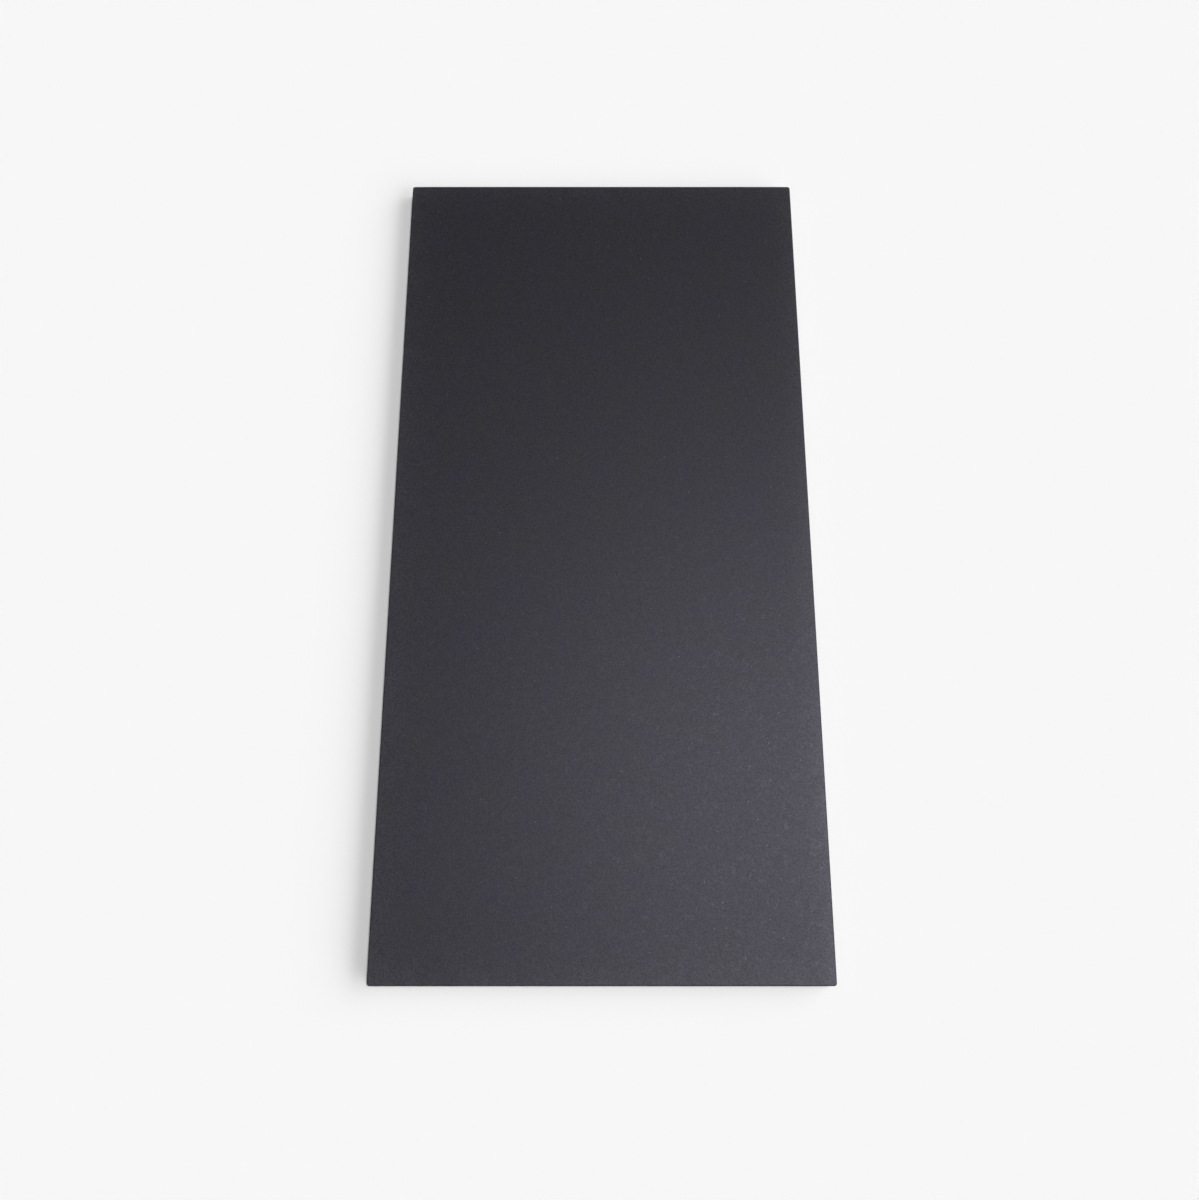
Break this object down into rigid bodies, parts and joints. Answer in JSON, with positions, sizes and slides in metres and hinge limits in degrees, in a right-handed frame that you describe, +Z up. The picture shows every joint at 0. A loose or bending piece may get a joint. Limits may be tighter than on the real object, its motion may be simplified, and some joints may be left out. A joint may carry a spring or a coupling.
{
  "type": "rubber cutting board",
  "caption": "Plain rectangular black rubber cutting board: rubber sheets on both sides of a slatted timber core, closed by rubber edge strips. Lies flat and turns over.",
  "frame": {"origin": "middle of the underside, where the board lies on a worktop", "axes": "+Z up through the cutting surface, +Y along the length away from the user, +X across the width to the user's right"},
  "size_m": [0.25, 0.5, 0.01],
  "materials": {
    "face_rubber": "matte black food-grade rubber with a fine sanded grain and sparse pale flecks",
    "edge_rubber": "matte black rubber, sawn and sanded along the edge",
    "core_timber": "planed light timber, sealed inside the board"
  },
  "bodies": {
    "root": {"upper_face_sheet": "face_rubber", "lower_face_sheet": "face_rubber", "left_edge_strip": "edge_rubber", "right_edge_strip": "edge_rubber", "front_edge_strip": "edge_rubber", "rear_edge_strip": "edge_rubber", "core_slat_1": "core_timber", "core_slat_2": "core_timber", "core_slat_3": "core_timber", "core_slat_4": "core_timber", "core_slat_5": "core_timber", "core_slat_6": "core_timber", "core_slat_7": "core_timber", "core_slat_8": "core_timber"}
  },
  "joints": []
}
